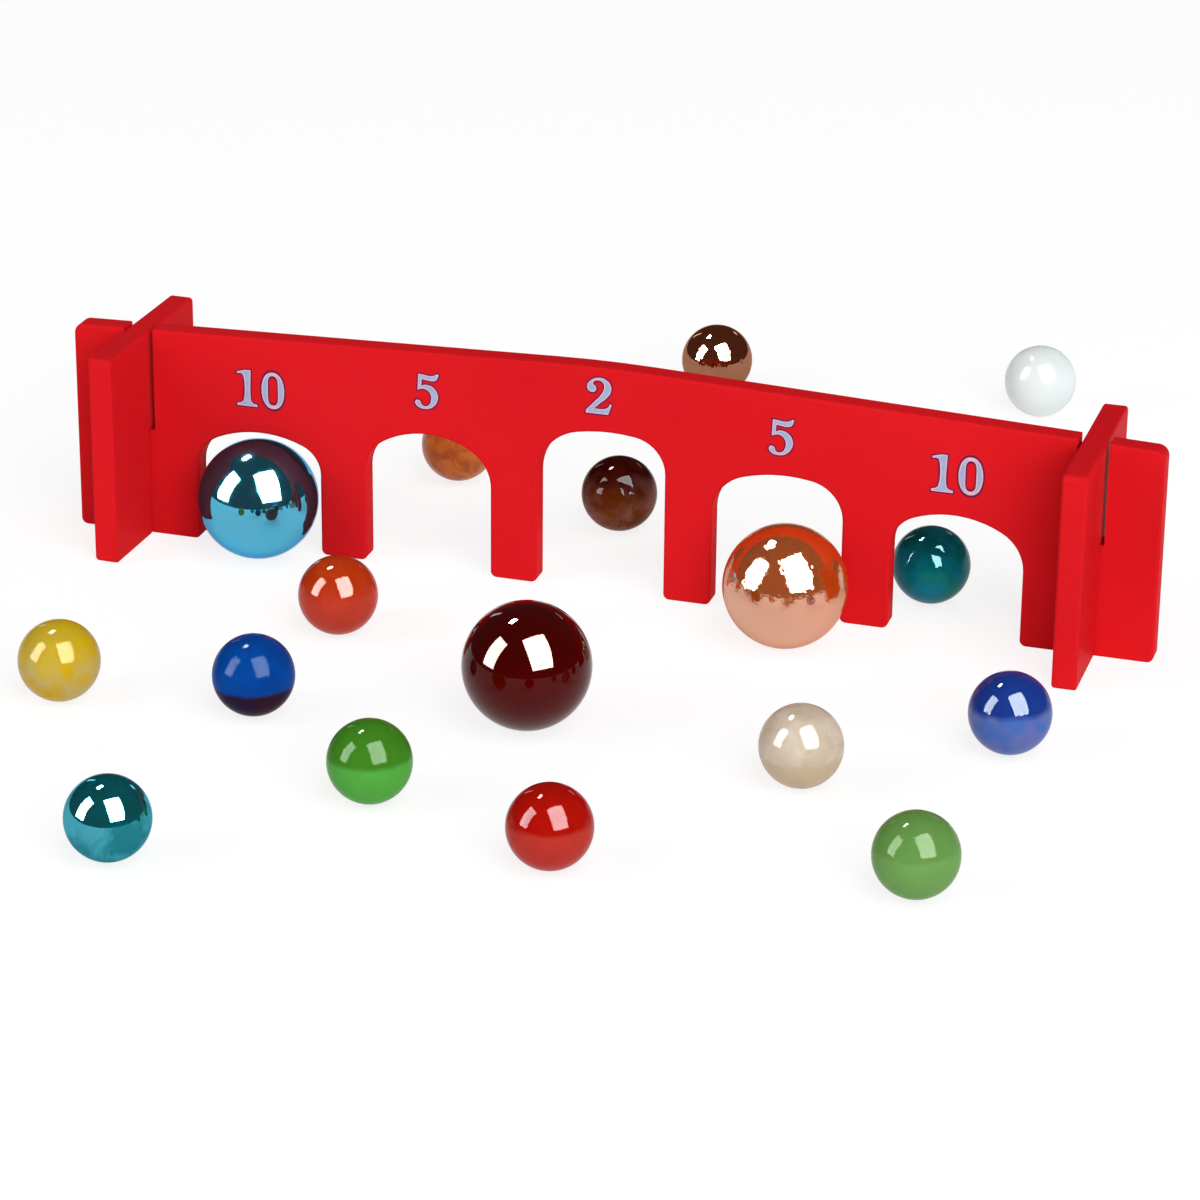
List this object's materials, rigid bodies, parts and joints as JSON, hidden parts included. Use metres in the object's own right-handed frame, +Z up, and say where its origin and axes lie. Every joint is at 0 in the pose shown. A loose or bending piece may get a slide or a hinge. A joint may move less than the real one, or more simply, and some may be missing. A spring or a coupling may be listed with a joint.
{
  "type": "marble arch board game",
  "caption": "Upright wooden board with a row of arches to roll marbles through, standing in two slotted crosswise feet, with loose glass marbles in two sizes.",
  "frame": {"origin": "on the table, at the middle of the footprint of the board and the marbles around it; the board's mid-plane is at Y = +10 mm and its middle at X = 0", "axes": "+X along the board to the player's right, +Y away from the player, +Z up"},
  "size_m": [0.229, 0.2882, 0.0486],
  "materials": {
    "red_painted_wood": "satin red paint over sanded wood",
    "blue_lustre_glass": "opaque blue glass with a mirror-like violet lustre",
    "amber_glass": "translucent amber glass",
    "brown_lustre_glass": "brown glass with an amber lustre",
    "maroon_glass": "dark maroon glass with a beige sheen",
    "orange_glass": "orange-red glass",
    "copper_lustre_glass": "opaque glass with a copper lustre",
    "teal_glass": "mottled translucent teal glass",
    "pearl_white_glass": "opaque white glass with a pearl lustre",
    "gold_lustre_glass": "mottled glass with a yellow-gold lustre",
    "blue_glass": "opaque blue glass",
    "oxblood_glass": "very dark red glass",
    "green_glass": "green glass",
    "champagne_glass": "clear glass with a champagne lustre",
    "royal_blue_glass": "royal blue glass with a violet lustre",
    "teal_lustre_glass": "mottled teal glass with a lustre",
    "red_glass": "red glass",
    "pale_green_pearl_glass": "pale green glass with a pearl lustre"
  },
  "bodies": {
    "board": {"arch_board": "red_painted_wood"},
    "left_foot": {"left_foot": "red_painted_wood"},
    "right_foot": {"right_foot": "red_painted_wood"},
    "marble_large_blue_lustre": {"marble_large_blue_lustre": "blue_lustre_glass"},
    "marble_amber": {"marble_amber": "amber_glass"},
    "marble_brown": {"marble_brown": "brown_lustre_glass"},
    "marble_maroon": {"marble_maroon": "maroon_glass"},
    "marble_orange": {"marble_orange": "orange_glass"},
    "marble_large_copper": {"marble_large_copper": "copper_lustre_glass"},
    "marble_teal_clear": {"marble_teal_clear": "teal_glass"},
    "marble_pearl_white": {"marble_pearl_white": "pearl_white_glass"},
    "marble_gold": {"marble_gold": "gold_lustre_glass"},
    "marble_blue": {"marble_blue": "blue_glass"},
    "marble_large_oxblood": {"marble_large_oxblood": "oxblood_glass"},
    "marble_green": {"marble_green": "green_glass"},
    "marble_champagne": {"marble_champagne": "champagne_glass"},
    "marble_royal_blue": {"marble_royal_blue": "royal_blue_glass"},
    "marble_teal_lustre": {"marble_teal_lustre": "teal_lustre_glass"},
    "marble_red": {"marble_red": "red_glass"},
    "marble_pale_green": {"marble_pale_green": "pale_green_pearl_glass"}
  },
  "joints": [
    {"name": "left_foot_lift", "type": "slide", "parent": "board", "child": "left_foot", "axis": [0, 0, 1], "range_m": [0, 0.05]},
    {"name": "right_foot_lift", "type": "slide", "parent": "board", "child": "right_foot", "axis": [0, 0, 1], "range_m": [0, 0.05]},
    {"name": "large_blue_lustre_roll", "type": "slide", "parent": "board", "child": "marble_large_blue_lustre", "axis": [-0.193, 0.9812, 0], "range_m": [-0.012, 0.026]},
    {"name": "amber_roll", "type": "slide", "parent": "board", "child": "marble_amber", "axis": [-0.2143, 0.9768, 0], "range_m": [-0.062, 0.006]},
    {"name": "brown_roll", "type": "slide", "parent": "board", "child": "marble_brown", "axis": [-0.0594, 0.9982, 0], "range_m": [-0.048, 0]},
    {"name": "maroon_roll", "type": "slide", "parent": "board", "child": "marble_maroon", "axis": [-0.1913, 0.9815, 0], "range_m": [-0.046, 0.018]},
    {"name": "orange_roll", "type": "slide", "parent": "board", "child": "marble_orange", "axis": [0.1619, 0.9868, 0], "range_m": [-0.008, 0.008]},
    {"name": "large_copper_roll", "type": "slide", "parent": "board", "child": "marble_large_copper", "axis": [0, 1, 0], "range_m": [-0.028, 0]},
    {"name": "teal_clear_roll", "type": "slide", "parent": "board", "child": "marble_teal_clear", "axis": [-0.3447, 0.9387, 0], "range_m": [-0.033, 0.012]},
    {"name": "pearl_white_roll", "type": "slide", "parent": "board", "child": "marble_pearl_white", "axis": [-0.0333, 0.9994, 0], "range_m": [-0.075, 0]},
    {"name": "gold_roll", "type": "slide", "parent": "board", "child": "marble_gold", "axis": [0.1048, 0.9945, 0], "range_m": [0, 0.045]},
    {"name": "blue_roll", "type": "slide", "parent": "board", "child": "marble_blue", "axis": [-0.3401, 0.9404, 0], "range_m": [-0.004, 0.014]},
    {"name": "large_oxblood_roll", "type": "slide", "parent": "board", "child": "marble_large_oxblood", "axis": [-0.0899, 0.996, 0], "range_m": [-0.006, 0.028]},
    {"name": "green_roll", "type": "slide", "parent": "board", "child": "marble_green", "axis": [-0.1724, 0.985, 0], "range_m": [-0.015, 0.028]},
    {"name": "champagne_roll", "type": "slide", "parent": "board", "child": "marble_champagne", "axis": [0.1454, 0.9894, 0], "range_m": [-0.018, 0.032]},
    {"name": "royal_blue_roll", "type": "slide", "parent": "board", "child": "marble_royal_blue", "axis": [-0.3991, 0.9169, 0], "range_m": [-0.008, 0.018]},
    {"name": "teal_lustre_roll", "type": "slide", "parent": "board", "child": "marble_teal_lustre", "axis": [0.069, 0.9976, 0], "range_m": [0, 0.042]},
    {"name": "red_roll", "type": "slide", "parent": "board", "child": "marble_red", "axis": [0.0337, 0.9994, 0], "range_m": [-0.012, 0.042]},
    {"name": "pale_green_roll", "type": "slide", "parent": "board", "child": "marble_pale_green", "axis": [-0.1168, 0.9932, 0], "range_m": [-0.012, 0.026]}
  ]
}
